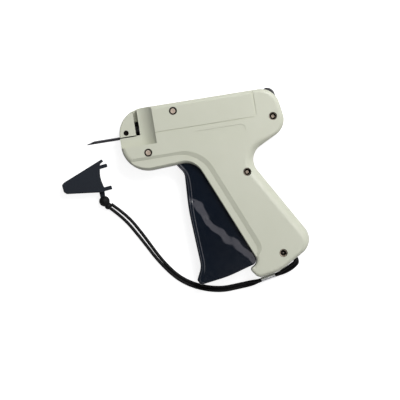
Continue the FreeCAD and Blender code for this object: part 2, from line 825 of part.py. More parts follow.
plate = new_body("nose_plate")
plate_pad = add_pad(plate, "block", [nose_plate_outline()], "half_width", "half_width + sunk_height")
plate_face = MID + size("sunk_height")
add_fillet(plate, plate_pad, "round", 0.8,
           lambda p: near(p.z, plate_face) and distance((p.x, p.y), (-33.5, 52.0)) > 19.0 and p.y > 49.0
           and p.x < -size("slot_front") - 0.2)
pin_hole = circle(NOSE_PIN, size("pin_radius") + size("fixed_gap"))
add_pocket(plate, "pin_hole", [pin_hole], "half_width - 1", "half_width + sunk_height + 1")
add_pocket(plate, "pin_sink", [circle(NOSE_PIN, 1.8)], "half_width + sunk_height - 2.2",
           "half_width + sunk_height + 1")
add_pocket(plate, "bar_channel", [bar_channel()], "half_width - 1", "half_width + channel_half")
cut_needle_seat(plate)

nose_pin = cylinder("nose_pin", "pin_radius", "8 + sunk_height - 1.6", (NOSE_PIN[0], NOSE_PIN[1], MID - 8.0))
keep(nose_pin, "nose_pin")

hub = new_body("needle_hub")
hub_front = -size("nose_reach") + 0.9
add_pad(hub, "barrel", [circle((size("needle_height"), MID), size("hub_radius"))], hub_front, CHANNEL_FRONT - 0.05,
        "YZ_Plane")
hub_bore = circle((size("needle_height"), MID), size("needle_radius") + size("fixed_gap"))
add_pocket(hub, "bore", [hub_bore], hub_front - 1.0, CHANNEL_FRONT, "YZ_Plane")
hub_slit = rectangle(hub_front - 1.0, size("needle_height") - SLIT_HALF, CHANNEL_FRONT + 1.0,
                     size("needle_height") + SLIT_HALF)
add_pocket(hub, "slit", [hub_slit], "half_width", "half_width + hub_radius + 1")

needle = new_body("needle")
tip_x = -size("needle_tip")
add_pad(needle, "tube", [circle((size("needle_height"), MID), size("needle_radius"))], tip_x, CHANNEL_FRONT - 0.05,
        "YZ_Plane")
add_pocket(needle, "bore", [circle((size("needle_height"), MID), size("needle_bore"))], tip_x - 1.0, CHANNEL_FRONT,
           "YZ_Plane")
needle_slit = rectangle(tip_x - 1.0, size("needle_height") - size("needle_slot") / 2, CHANNEL_FRONT + 1.0,
                        size("needle_height") + size("needle_slot") / 2)
add_pocket(needle, "slit", [needle_slit], "half_width", "half_width + needle_radius + 1")
bevel_low = size("needle_height") - size("needle_radius") - 0.1
bevel_high = size("needle_height") + size("needle_radius") + 0.1
bevel = polygon([(tip_x - 1.0, bevel_low + 0.5), (tip_x + 6.5, bevel_high), (tip_x - 1.0, bevel_high)])
add_pocket(needle, "bevel", [bevel], "half_width - needle_radius - 1", "half_width + needle_radius + 1")

blade = new_body("cutter_blade")
blade_x = -size("slot_front") + size("slot_width")
blade_side = polygon([
    (size("slot_floor") + 0.1, MID + 2.0),
    (size("slot_floor") + 6.0, MID + 1.2),
    (size("slot_floor") + 6.0, MID + 6.0),
    (size("slot_floor") + 0.1, MID + 6.0),
])
add_pad(blade, "strip", [blade_side], blade_x - 0.5, blade_x, "YZ_Plane")

# ---------------------------------------------------------------------------------------------------
# Trigger and its drive pin
# ---------------------------------------------------------------------------------------------------


TRIGGER_FRONT = [
    (-14.6, 25.6, 8.0),
    (-8.2, 16.5, 9.0),
    (-9.6, -12.0, 150.0),
    (TRIGGER_TOE[0] + 2.4, TRIGGER_TOE[1] + 13.8, 16.0),
    (TRIGGER_TOE[0] - 2.3, TRIGGER_TOE[1] + 4.1, 1.8),
]


def trigger_corners(rear=0.0):
    """Side view of the trigger, anticlockwise from the front of its eye; its rear edge can stand further back."""
    px, py = TRIGGER_PIVOT
    toe_x, toe_y = TRIGGER_TOE
    return [
        (px - size("trigger_eye"), py, 0.0),
        *TRIGGER_FRONT,
        (toe_x, toe_y, 1.8),
        (13.0, toe_y + 3.2, 90.0),
        (HEEL[0] - 23.6 + rear, HEEL[1] + 0.8 + 0.32 * rear, 4.2),
        (34.2 + rear, -35.0, 0.0),
        (17.0 + rear, -2.2, 12.0),
        (1.0 + rear, 27.0, 20.0),
        (px + size("trigger_eye") + rear, py - 14.0, 10.0),
        (px + size("trigger_eye") + rear, py, 0.0),
    ]


def trigger_recess():
    """The shallow recess of a side face: behind the bead down the front, open to the foot and the rear."""
    bead = size("trigger_bead")
    behind = HEEL[0]
    below = TRIGGER_TOE[1] - 5.0
    front = [(x + bead, y, radius) for x, y, radius in TRIGGER_FRONT[:-1]]
    return outline(
        [
            (front[0][0], front[0][1] + 10.0, 0.0),
            *front,
            (TRIGGER_TOE[0] + bead, below, 0.0),
            (behind, below, 0.0),
            (behind, front[0][1] + 10.0, 0.0),
        ]
    )


trigger = new_body("trigger")
low, high = "half_width - trigger_half", "half_width + trigger_half"
plates = add_pad(trigger, "plates", [outline(trigger_corners())], low, high)
trigger_faces = (MID - size("trigger_half"), MID + size("trigger_half"))
add_fillet(trigger, plates, "outer_round", 1.4,
           lambda p: (near(p.z, trigger_faces[0]) or near(p.z, trigger_faces[1])) and (p.x < -6.0 or p.y < -55.0))
add_pad(trigger, "eye", [circle(TRIGGER_PIVOT, size("trigger_eye"))], low, high)
channel_low, channel_high = f"{low} + trigger_skin", f"{high} - trigger_skin"
add_pocket(trigger, "channel", [outline(trigger_corners(25.0), -2.5)], channel_low, channel_high)
add_pocket(trigger, "pawl_window", [rectangle(-20.0, 40.0, -9.6, 60.8)], channel_low, channel_high)
add_pocket(trigger, "left_face", [trigger_recess()], f"{high} - 0.4", f"{high} + 1")
add_pocket(trigger, "right_face", [trigger_recess()], f"{low} - 1", f"{low} + 0.4")
add_pad(trigger, "right_pin_boss", [circle(DRIVE_PIN, size("trigger_pin") + 1.4)], f"{low} + 1", f"{channel_low} + 2")
add_pad(trigger, "left_pin_boss", [circle(DRIVE_PIN, size("trigger_pin") + 1.4)], f"{channel_high} - 2",
        f"{high} - 1")
add_pad(trigger, "feed_lug", [rectangle(-14.4, 60.6, -10.6, 63.2)], f"{low} + 0.5", "half_width + 0.6")
add_pocket(trigger, "pivot_bore", [circle(TRIGGER_PIVOT, size("pivot_boss") + size("pivot_clearance"))],
           f"{low} - 1", f"{high} + 1")
drive_bore = circle(DRIVE_PIN, size("trigger_pin") + size("fixed_gap"))
PIN_SKIN = 1.1  # left over each end of the drive pin's blind bore
add_pocket(trigger, "pin_bore", [drive_bore], f"{low} + {PIN_SKIN}", f"{high} - {PIN_SKIN}")

drive_pin = cylinder("trigger_drive_pin", "trigger_pin", f"2 * (trigger_half - {PIN_SKIN} - fixed_gap)",
                     (DRIVE_PIN[0], DRIVE_PIN[1], MID - size("trigger_half") + PIN_SKIN + size("fixed_gap")))
keep(drive_pin, "trigger_drive_pin")

# ---------------------------------------------------------------------------------------------------
# Drive lever: forked above, with a curved slot below that the trigger's pin runs in
# ---------------------------------------------------------------------------------------------------


def pin_in_lever(share):
    """Where the drive pin stands in the lever, seen in the lever's rest place, at a share of the stroke."""
    trigger_turn = share * size("trigger_stroke")
    pin = turned(DRIVE_PIN, TRIGGER_PIVOT, trigger_turn)
    return turned(pin, LEVER_PIVOT, -LEVER_RATIO * trigger_turn)


def curved_slot(half):
    """Outline round the pin's path in the lever, half a width away on each side."""
    stations = [pin_in_lever(i / 4) for i in range(5)]

    def side(sign):
        shifted = []
        for i, here in enumerate(stations):
            before = stations[max(i - 1, 0)]
            after = stations[min(i + 1, 4)]
            if i == 0:
                way = tangent(stations[0], stations[1], stations[2], 0)
            elif i == 4:
                way = tangent(stations[2], stations[3], stations[4], 2)
            else:
                way = tangent(before, here, after, 1)
            shifted.append(flat((here[0] - sign * half * way.y, here[1] + sign * half * way.x)))
        return shifted, way

    left, way_end = side(1)
    right, _ = side(-1)
    start_way = tangent(stations[0], stations[1], stations[2], 0)
    start_tip = flat(stations[0]) - start_way * half
    end_tip = flat(stations[4]) + way_end * half
    return [
        Part.Arc(left[0], start_tip, right[0]),
        Part.Arc(right[0], right[1], right[2]),
        Part.Arc(right[2], right[3], right[4]),
        Part.Arc(right[4], end_tip, left[4]),
        Part.Arc(left[4], left[3], left[2]),
        Part.Arc(left[2], left[1], left[0]),
    ]


def tangent(a, b, c, index):
    """Unit tangent of the circle through three points, at one of them."""
    arc = Part.Arc(flat(a), flat(b), flat(c))
    parameter = arc.parameter(flat((a, b, c)[index]))
    way = arc.tangent(parameter)[0]
    chord = flat(c) - flat(a)
    return way if way.dot(chord) > 0 else way * -1


def along_fork(rise, across):
    """A point of the lever's fork: rise from the pivot, across the arm (forward is negative)."""
    lean = math.radians(LEAN_BACK)
    return (
        LEVER_PIVOT[0] + rise * math.sin(lean) + across * math.cos(lean),
        LEVER_PIVOT[1] + rise * math.cos(lean) - across * math.sin(lean),
    )


FORK_PIN_RISE = FORK_RISE / math.cos(math.radians(LEAN_FORWARD))
lever = new_body("drive_lever")
low, high = "half_width - lever_half", "half_width + lever_half"
fork_half = 4.4
slot_half = 2.45
fork_top = FORK_PIN_RISE + 2.4
# the arm bows forward round the hollow of the housing's back
arm = outline(
    [
        (*along_fork(fork_top, -fork_half), 1.6),
        (*along_fork(24.0, -fork_half), 16.0),
        (*along_fork(13.0, -7.0), 14.0),
        (*along_fork(2.0, -3.6), 0.0),
        (*along_fork(2.0, 2.0), 0.0),
        (*along_fork(13.0, -1.6), 14.0),
        (*along_fork(20.0, -0.8), 14.0),
        (*along_fork(28.0, fork_half), 8.0),
        (*along_fork(fork_top, fork_half), 1.6),
    ]
)
add_pad(lever, "fork_arm", [arm], low, high)
slot_top = pin_in_lever(1.0)
arm_way = Vector(slot_top[0] - LEVER_PIVOT[0], slot_top[1] - LEVER_PIVOT[1], 0).normalize()
foot_arm = polygon([
    (LEVER_PIVOT[0] + arm_way.y * 3.6, LEVER_PIVOT[1] - arm_way.x * 3.6),
    (slot_top[0] + arm_way.y * 2.9, slot_top[1] - arm_way.x * 2.9),
    (slot_top[0] - arm_way.y * 2.9, slot_top[1] + arm_way.x * 2.9),
    (LEVER_PIVOT[0] - arm_way.y * 3.6, LEVER_PIVOT[1] + arm_way.x * 3.6),
])
add_pad(lever, "foot_arm", [foot_arm], low, high)
add_pad(lever, "slot_rim", [curved_slot(size("trigger_pin") + 1.55)], low, high)
add_pad(lever, "hub", [circle(LEVER_PIVOT, size("boss_radius") + 1.45)], "half_width - hub_half",
        "half_width + hub_half")
SPRING_EYE = along_fork(14.0, -4.2)
add_pad(lever, "spring_stud", [circle(SPRING_EYE, 1.3)], low, "half_width + 4.6")
add_pocket(lever, "pivot_bore", [circle(LEVER_PIVOT, size("boss_radius") + size("pivot_clearance"))],
           "half_width - hub_half - 1", "half_width + hub_half + 1")
add_pocket(lever, "curved_slot", [curved_slot(size("trigger_pin") + 0.25)], f"{low} - 1", f"{high} + 1")
fork_slot = outline(
    [
        (*along_fork(fork_top + 3.0, -slot_half), 0.0),
        (*along_fork(FORK_RISE - 4.0, -slot_half), 2.2),
        (*along_fork(FORK_RISE - 4.0, slot_half), 2.2),
        (*along_fork(fork_top + 3.0, slot_half), 0.0),
    ]
)
add_pocket(lever, "fork_slot", [fork_slot], f"{low} - 1", f"{high} + 1")

# ---------------------------------------------------------------------------------------------------
# Slide carriage, its pin and the push rod
# ---------------------------------------------------------------------------------------------------

carriage = new_body("slide_carriage")
slide_back = size("slide_rest") + 3.0
slide_front = size("slide_rest") - 13.0
needle_y = size("needle_height")
block = rectangle(slide_front, needle_y - size("slide_rise"), slide_back, needle_y + size("slide_rise"))
add_pad(carriage, "block", [block], "half_width - slide_half", "half_width + slide_half")
gap = rectangle(size("slide_rest") - 7.0, needle_y - 5.0, slide_back + 1.0, needle_y + 5.0)
add_pocket(carriage, "fork_gap", [gap], "half_width - lever_half - 0.3", "half_width + lever_half + 0.3")
pin_bore = circle((size("slide_rest"), needle_y), size("slide_pin") + size("fixed_gap"))
add_pocket(carriage, "pin_bore", [pin_bore], "half_width - slide_half - 1", "half_width + slide_half + 1")
ROD_BACK = slide_front + 4.5
rod_bore = circle((needle_y, MID), size("rod_radius") + size("fixed_gap"))
add_pocket(carriage, "rod_bore", [rod_bore], slide_front - 1.0, ROD_BACK, "YZ_Plane")

pin = cylinder("slide_pin", "slide_pin", "2 * slide_half - 0.4",
               (size("slide_rest"), needle_y, MID - size("slide_half") + 0.2))
keep(pin, "slide_pin")
ROD_TIP = CHANNEL_FRONT + size("channel_length") + 0.5
rod = cylinder("push_rod", "rod_radius", ROD_BACK - ROD_TIP, (ROD_TIP, needle_y, MID), (1, 0, 0))
keep(rod, "push_rod")

# ---------------------------------------------------------------------------------------------------
# Feed wheel, axle, pawl
# ---------------------------------------------------------------------------------------------------

TEETH = 14
PITCH = 360.0 / TEETH


def ring_of_gaps(body, name, gap, low, high):
    """Cuts one tooth gap into a wheel and repeats it all round."""
    gap_cut = add_pocket(body, name, [gap], low, high)
    doc.recompute()
    ring = body.newObject("PartDesign::PolarPattern", f"{body.Label}_{name}_ring")
    ring.Originals = [gap_cut]
    ring.Axis = (origin_plane(body, "Z_Axis"), [""])
    ring.Angle = 360
    ring.Occurrences = TEETH
    body.Tip = ring


wheel = new_body("feed_wheel")
add_pad(wheel, "disc", [circle((0, 0), size("wheel_radius"))], "-wheel_width / 2", "wheel_width / 2")
outer = size("wheel_radius")
feed_gap = polygon([(outer - 1.5, -0.35), (outer + 0.6, -1.1), (outer + 0.6, 0.35), (outer - 1.3, 0.35)])
ring_of_gaps(wheel, "feed_gap", feed_gap, "-wheel_width", "wheel_width")
add_pad(wheel, "ratchet", [circle((0, 0), size("ratchet_radius"))], "wheel_width / 2 - 0.1",
        "wheel_width / 2 + ratchet_width")
outer = size("ratchet_radius")
corners = [(outer - 0.85, -0.42), (outer + 0.5, -0.75), (outer + 0.5, 0.75), (outer - 0.85, 0.42)]
ratchet_gap = polygon([turned(c, (0, 0), PITCH / 2) for c in corners])
ring_of_gaps(wheel, "ratchet_gap", ratchet_gap, "wheel_width / 2", "wheel_width / 2 + ratchet_width + 0.5")
add_pocket(wheel, "bore", [circle((0, 0), size("axle_radius") + size("pivot_clearance"))], "-wheel_width",
           "wheel_width + ratchet_width")
wheel.Placement = Placement(Vector(WHEEL_X, size("wheel_axis"), MID - size("wheel_sink")),
                            Rotation(Vector(0, 0, 1), Vector(1, 0, 0)))

axle = cylinder("feed_wheel_axle", "axle_radius", AXLE_BACK - AXLE_FRONT,
                (WHEEL_X + AXLE_FRONT, size("wheel_axis"), MID - size("wheel_sink")), (1, 0, 0))
keep(axle, "feed_wheel_axle")

pawl = new_body("feed_pawl")
pawl_high = "half_width - 0.7"
pawl_low = "half_width - 0.7 - pawl_thickness"
wheel_y = size("wheel_axis")
finger_y = wheel_y - size("ratchet_radius") * 0.92 * math.sin(math.radians(PITCH / 2))
px, py = PAWL_PIVOT
pawl_side = outline(
    [
        (WHEEL_X + 1.95, finger_y - 0.5, 0.3),
        (WHEEL_X + 3.5, finger_y - 0.5, 0.3),
        (px - 3.0, py - 1.6, 3.0),
        (px + 1.0, py - 2.4, 2.4),
        (-11.0, py - 0.9, 0.6),
        (-11.0, py + 1.1, 0.6),
        (px + 1.0, py + 2.4, 2.4),
        (px - 3.0, py + 1.6, 3.0),
        (WHEEL_X + 1.95, finger_y + 1.4, 0.3),
    ]
)
add_pad(pawl, "strip", [pawl_side], pawl_low, pawl_high)
finger = rectangle(WHEEL_X + 2.05, finger_y - 0.3, WHEEL_X + 2.85, finger_y + 0.3)
add_pad(pawl, "finger", [finger], f"{pawl_low} - 0.95", pawl_high)
add_pocket(pawl, "bore", [circle(PAWL_PIVOT, size("axle_radius") + size("pivot_clearance"))], f"{pawl_low} - 1",
           f"{pawl_high} + 1")
pawl_pin = cylinder("feed_pawl_pin", "axle_radius", 7.6, (PAWL_PIVOT[0], PAWL_PIVOT[1], MID - 7.8))
keep(pawl_pin, "feed_pawl_pin")


def leaf_outline():
    """Side view of the leaf spring that pushes the pawl's tail up: a thin strip, bowed downwards."""
    middle = ((LEAF_START[0] + LEAF_END[0]) / 2, (LEAF_START[1] + LEAF_END[1]) / 2 - 0.9)
    half = LEAF_THICK / 2
    lower = [flat((x, y - half)) for x, y in (LEAF_START, middle, LEAF_END)]
    upper = [flat((x, y + half)) for x, y in (LEAF_START, middle, LEAF_END)]
    return [
        Part.Arc(*lower),
        Part.LineSegment(lower[2], upper[2]),
        Part.Arc(*upper[::-1]),
        Part.LineSegment(upper[0], lower[0]),
    ]


leaf = new_body("pawl_spring")
add_pad(leaf, "strip", [leaf_outline()], f"{pawl_low} - 0.4", pawl_high)

# ---------------------------------------------------------------------------------------------------
# Release button at the top rear corner
# ---------------------------------------------------------------------------------------------------

button = new_body("release_button")
# its crown stands nearer to the top than to the tail
crescent = outline(
    [
        (*button_point(-3.0, -BUTTON_CHORD), 0.0),
        (*button_point(0.3, -BUTTON_CHORD), 0.0),
        (*button_point(4.9, 4.5), 6.0),
        (*button_point(0.5, BUTTON_CHORD), 0.0),
        (*button_point(-3.0, BUTTON_CHORD), 0.0),
    ]
)
low, high = "half_width - button_half", "half_width + button_half"
button_pad = add_pad(button, "cap", [crescent], low, high)
button_top = MID + size("button_half")
button_bottom = MID - size("button_half")


def on_button_rim(p):
    out = (p.x - BUTTON_CENTRE[0]) * math.cos(math.radians(BUTTON_ANGLE))
    out += (p.y - BUTTON_CENTRE[1]) * math.sin(math.radians(BUTTON_ANGLE))
    return out > 0.2 and (near(p.z, button_top) or near(p.z, button_bottom))


add_fillet(button, button_pad, "rim_round", 0.8, on_button_rim)
add_pad(button, "stem", [button_box(-6.5, -2.8, 2.0)], "half_width - 2", "half_width + 2")

# ---------------------------------------------------------------------------------------------------
# Springs
# ---------------------------------------------------------------------------------------------------


def coil(start, end, radius, wire, turns):
    """A helical spring of square wire between two points, and the places where its wire ends."""
    axis = end - start
    pitch = (axis.Length - wire) / turns
    helix = Part.makeHelix(pitch, pitch * turns, radius)
    low, high = radius - wire / 2, radius + wire / 2
    square = [(low, -wire / 2), (high, -wire / 2), (high, wire / 2), (low, wire / 2), (low, -wire / 2)]
    section = Part.makePolygon([Vector(x, 0, z) for x, z in square])
    solid = helix.makePipeShell([section], True, True)
    place = Placement(start + axis.normalize() * (wire / 2), Rotation(Vector(0, 0, 1), axis))
    solid.Placement = place
    return solid, [place.multVec(Vector(radius, 0, height)) for height in (0.0, pitch * turns)]


def eye_ring(centre, inner, wire):
    """The looped end of an extension spring."""
    low = centre - Vector(0, 0, wire / 2)
    return Part.makeCylinder(inner + wire, wire, low).cut(Part.makeCylinder(inner, wire, low))


SPRING_WIRE = 0.7
RING_INNER = 1.55
spring_start = flat(SPRING_EYE, MID + 3.6)
spring_end = flat(SPRING_POST, MID + 3.6)
spring_way = (spring_end - spring_start).normalize()
ring_reach = RING_INNER + SPRING_WIRE / 2
spring, coil_ends = coil(spring_start + spring_way * ring_reach, spring_end - spring_way * ring_reach, 1.75,
                         SPRING_WIRE, 5)
# a short lead joins each end of the coil to its ring
for centre, way, coil_end in ((spring_start, spring_way, coil_ends[0]), (spring_end, spring_way * -1, coil_ends[1])):
    spring = spring.fuse(eye_ring(centre, RING_INNER, SPRING_WIRE))
    ring_side = centre + way * ring_reach
    lead = coil_end - ring_side
    spring = spring.fuse(Part.makeCylinder(0.3, lead.Length, ring_side, lead))
solid_piece("trigger_spring", spring)

button_seat = flat(button_point(-11.0, 0.0), MID)
button_heel = flat(button_point(-6.5, 0.0), MID)
solid_piece("button_spring", coil(button_seat, button_heel, 1.5, 0.5, 3)[0])

# ---------------------------------------------------------------------------------------------------
# Wrist cord: anchor pin, bight, two strands, ferrule, knot; and the needle cap
# ---------------------------------------------------------------------------------------------------

anchor = cylinder("cord_anchor_pin", "anchor_radius", 8.0, (0, 0, 0))
place_anchor(anchor, 4.0)
keep(anchor, "cord_anchor_pin")

BIGHT = size("anchor_radius") + 0.15 + size("cord_radius")


def cord_bight():
    """Half a turn of cord round the anchor pin, in the plane across the seam."""
    half_ring = Part.makeTorus(BIGHT, size("cord_radius"), Vector(0, 0, 0), Vector(0, 0, 1), 0, 360, 180)
    # the half ring bulges along +Y of its own frame; that way has to point into the grip
    into = Vector(-CORD_WAY[0], -CORD_WAY[1], 0)
    turn = FreeCAD.Matrix(
        0, into.x, -into.y, ANCHOR[0],
        0, into.y, into.x, ANCHOR[1],
        1, 0, 0, MID,
        0, 0, 0, 1,
    )
    half_ring.Placement = Placement(turn)
    return half_ring


solid_piece("cord_bight", cord_bight())

# Middle line of the doubled cord, from the grip to the knot: x, y, height of the line, how far each
# strand stands off it to the side, and how far above or below it.
CORD_LINE = [
    (ANCHOR[0], ANCHOR[1], MID, 0.0, BIGHT),
    (68.4, -64.5, 12.6, 0.7, 1.3),
    (63.6, -68.2, 10.4, 1.05, 0.85),
    (54.0, -72.3, 5.0, 0.2, 1.42),
    (33.4, -76.2, 3.2, 0.2, 1.42),
    (23.0, -77.0, 2.05, 1.3, 0.6),
    (2.6, -78.1, 1.35, 1.7, 0.0),
    (-20.6, -68.9, 1.3, 1.3, 0.0),
    (-35.9, -51.8, 1.3, 1.35, 0.0),
    (-50.0, -24.9, 1.3, 1.65, 0.0),
    (-59.8, -8.9, 1.5, 1.7, 0.0),
    (-69.8, 0.8, 3.0, 1.5, 0.0),
]
FERRULE_RUN = 3  # the ferrule sits on the run that starts at this point


def strand_points(side):
    """The route of one strand; side is +1 for the upper and inner one."""
    points = []
    for i, (x, y, level, beside, above) in enumerate(CORD_LINE):
        before = CORD_LINE[max(i - 1, 0)]
        after = CORD_LINE[min(i + 1, len(CORD_LINE) - 1)]
        way = Vector(after[0] - before[0], after[1] - before[1], 0).normalize()
        # to the right of the way from the grip to the knot lies the upper, inner side
        points.append(Vector(x + way.y * beside * side, y - way.x * beside * side, level + above * side))
    return points


def cord_tube(points, radius, label):
    """A tube along straight runs joined by arcs as large as the runs allow."""
    edges = []
    last = points[0]
    radii = []
    for before, here, after in zip(points, points[1:], points[2:]):
        way_in = (here - before).normalize()
        way_out = (after - here).normalize()
        turn = way_in.getAngle(way_out)
        run = 0.45 * min((here - before).Length, (after - here).Length)
        bend = run / math.tan(turn / 2)
        radii.append(bend)
        start = here - way_in * run
        end = here + way_out * run
        inwards = (way_out - way_in).normalize()
        middle = here + inwards * (bend / math.cos(turn / 2) - bend)
        edges.append(Part.LineSegment(last, start).toShape())
        edges.append(Part.Arc(start, middle, end).toShape())
        last = end
    edges.append(Part.LineSegment(last, points[-1]).toShape())
    spine = Part.Wire(edges)
    first_way = (points[1] - points[0]).normalize()
    section = Part.Wire(Part.Circle(points[0], first_way, radius).toShape())
    tube = spine.makePipeShell([section], True, True)
    exact = math.pi * radius**2 * spine.Length
    print(f"{label}: length {spine.Length:.1f}, tightest arc {min(radii):.1f}, volume/exact {tube.Volume / exact:.4f}")
    print("  radii", [round(r, 1) for r in radii])
    return tube


solid_piece("cord_strand_upper", cord_tube(strand_points(1), size("cord_radius"), "upper strand"))
solid_piece("cord_strand_lower", cord_tube(strand_points(-1), size("cord_radius"), "lower strand"))


def ferrule_shape():
    """Crimped sleeve round both strands, in the middle of their straight stretch."""
    upper = strand_points(1)
    lower = strand_points(-1)
    ends = []
    for points in (upper, lower):
        near_end = points[FERRULE_RUN]
        far_end = points[FERRULE_RUN + 1]
        middle = (near_end + far_end) * 0.5
        ends.append((middle, (far_end - near_end).normalize()))
    way = (ends[0][1] + ends[1][1]).normalize()
    half = size("ferrule_length") / 2
    radius = size("cord_radius")
    wall = size("ferrule_wall")
    sleeves = []
    for grow in (wall, 0.02):
        shape = None
        for middle, _ in ends:
            length = half if grow == wall else half + 1.0
            rod = Part.makeCylinder(radius + grow, 2 * length, middle - way * length, way)
            shape = rod if shape is None else shape.fuse(rod)
        centre = (ends[0][0] + ends[1][0]) * 0.5
        gap_up = (ends[0][0] - ends[1][0]).normalize()
        length = half if grow == wall else half + 1.0
        side = way.cross(gap_up).normalize()
        wide = radius + grow
        tall = (ends[0][0] - ends[1][0]).Length / 2
        corners = [
            centre - way * length + side * wide + gap_up * tall,
            centre - way * length - side * wide + gap_up * tall,
            centre - way * length - side * wide - gap_up * tall,
            centre - way * length + side * wide - gap_up * tall,
        ]
        web = Part.Face(Part.makePolygon(corners + corners[:1])).extrude(way * (2 * length))
        sleeves.append(shape.fuse(web))
    return sleeves[0].cut(sleeves[1])


solid_piece("cord_ferrule", ferrule_shape())

KNOT = Vector(-73.6, 5.0, 4.2)
knot = Part.makeSphere(4.15, KNOT)
knot = knot.fuse(Part.makeSphere(2.8, KNOT + Vector(2.3, -4.1, -1.3)))
solid_piece("cord_knot", knot)


def cap_corners():
    """Side view of the cap's wedge, anticlockwise from the top of its mouth."""
    return [
        (-69.7, 36.0, 0.0),
        (-70.6, 37.6, 0.0),
        (-102.3, 24.3, 1.2),
        (-104.2, 22.6, 1.2),
        (-103.6, 17.0, 1.5),
        (-101.6, 15.1, 1.2),
        (-76.0, 12.3, 0.0),
        (-72.4, 12.6, 0.8),
        (-72.2, 15.6, 1.0),
        (-74.2, 24.0, 20.0),
        (-73.2, 31.0, 6.0),
        (-72.6, 34.3, 1.0),
    ]


cap = new_body("needle_cap")
cap_block = add_pad(cap, "wedge", [outline(cap_corners())], "0", "cap_width")
add_chamfer(cap, cap_block, "side_bevel", 0.8,
            lambda p: (near(p.z, 0) or near(p.z, size("cap_width"))) and p.x < -74.5)
hollow = outline(
    [
        (-66.0, 36.6, 0.0),
        (-70.8, 34.9, 0.0),
        (-101.3, 22.3, 0.8),
        (-102.3, 21.6, 0.6),
        (-101.9, 17.8, 0.8),
        (-100.9, 16.6, 0.8),
        (-76.0, 13.9, 0.0),
        (-66.0, 14.2, 0.0),
    ]
)
add_pocket(cap, "socket", [hollow], "cap_wall", "cap_width - cap_wall")
prongs = [
    outline([(-74.5, 30.3, 0.0), (-67.1, 31.2, 0.4), (-67.3, 33.8, 0.4), (-74.5, 32.9, 0.0)]),
    outline([(-74.5, 12.6, 0.0), (-66.0, 13.4, 0.4), (-66.4, 16.3, 0.4), (-74.5, 15.5, 0.0)]),
]
add_pad(cap, "left_prongs", prongs, "cap_width - cap_wall", "cap_width")
add_pad(cap, "right_prongs", prongs, "0", "cap_wall")
lug_side = outline(
    [(-76.6, 13.4, 0.0), (-76.0, 6.6, 1.0), (-72.6, 6.6, 1.0), (-72.2, 13.4, 0.0)]
)
add_pad(cap, "cord_lug", [lug_side], "cap_wall * 2", "cap_wall * 2 + 3")

# ---------------------------------------------------------------------------------------------------
# Checks and files
# ---------------------------------------------------------------------------------------------------

doc.recompute()
failed = [o.Name for o in doc.Objects if "Invalid" in o.State or "Error" in o.State]
if failed:
    raise RuntimeError(f"objects failed: {failed}")
for cut in cuts:
    base = cut.BaseFeature
    if base is not None and cut.Shape.Volume > base.Shape.Volume - 1e-4:
        raise RuntimeError(f"{cut.Name} cuts nothing")
os.makedirs("parts", exist_ok=True)
for piece in pieces:
    shape = piece.Shape
    if shape.isNull() or not shape.isValid():
        raise RuntimeError(f"{piece.Label} has no valid shape")
    box = shape.BoundBox
    print(f"{piece.Label}: {len(shape.Solids)} solid(s), {shape.Volume:.1f} mm3, "
          f"x {box.XMin:.1f}..{box.XMax:.1f} y {box.YMin:.1f}..{box.YMax:.1f} z {box.ZMin:.1f}..{box.ZMax:.1f}")
    shape.exportStep(f"parts/{piece.Label}.step")
print(f"lever ratio {LEVER_RATIO:.4f}, trigger reach {TRIGGER_REACH:.2f}")
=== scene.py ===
import json
import math

import bpy
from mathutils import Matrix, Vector


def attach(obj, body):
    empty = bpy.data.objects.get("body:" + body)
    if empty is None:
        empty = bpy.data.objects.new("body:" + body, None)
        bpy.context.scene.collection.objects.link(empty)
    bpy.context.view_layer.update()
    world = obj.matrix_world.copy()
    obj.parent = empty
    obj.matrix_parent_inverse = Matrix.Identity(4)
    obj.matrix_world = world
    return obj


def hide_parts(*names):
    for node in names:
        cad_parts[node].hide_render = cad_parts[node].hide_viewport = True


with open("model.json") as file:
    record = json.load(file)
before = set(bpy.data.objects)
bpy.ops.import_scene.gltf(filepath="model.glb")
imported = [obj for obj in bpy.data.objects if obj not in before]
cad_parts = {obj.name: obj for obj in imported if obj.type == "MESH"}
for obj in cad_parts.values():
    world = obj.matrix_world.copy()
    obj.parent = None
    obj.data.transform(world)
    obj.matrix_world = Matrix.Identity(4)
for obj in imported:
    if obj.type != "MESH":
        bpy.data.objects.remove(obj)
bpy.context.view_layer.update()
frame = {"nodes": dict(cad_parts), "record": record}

# Visual model of a garment tag attacher that lies on its right side: +Z is its left side, -X the way the
# needle points, +Y its top. Blender's lengths are metres; the tables of places are millimetres.

MM = 0.001
NODES = frame["nodes"]
HOUSING = "housing_body"
TRIGGER = "trigger_body"
PARTING_PLANE = 13.0  # height of the plane between the housing's two halves


def mm(x, y, z):
    """A place given in millimetres."""
    return Vector((x * MM, y * MM, z * MM))


def neighbours(items, i):
    """The items before and after one of them; at an end, that one takes the place of the missing one."""
    return items[max(i - 1, 0)], items[min(i + 1, len(items) - 1)]


def add_object(name, data):
    """A new object in the scene."""
    thing = bpy.data.objects.new(name, data)
    bpy.context.scene.collection.objects.link(thing)
    return thing


# ---------------------------------------------------------------------------------------------------
# Camera: straight above, with the tool's nose a little lower in the picture than its tail
# ---------------------------------------------------------------------------------------------------

PICTURE_WIDTH = 312.0 * MM  # at the height of the parting plane
PICTURE_MIDDLE = (0.42, -5.89, PARTING_PLANE)
LENS = 260.0  # millimetres, like the sensor
SENSOR = 36.0
ROLL = math.radians(9.1)
FARTHEST_SEEN = 20.0


def make_camera():
    camera = add_object("camera", bpy.data.cameras.new("camera"))
    camera.data.lens = LENS
    camera.data.sensor_width = SENSOR
    camera.data.clip_end = FARTHEST_SEEN
    camera.location = mm(*PICTURE_MIDDLE) + Vector((0, 0, PICTURE_WIDTH * LENS / SENSOR))
    camera.rotation_euler = (0, 0, -ROLL)
    bpy.context.scene.camera = camera


make_camera()

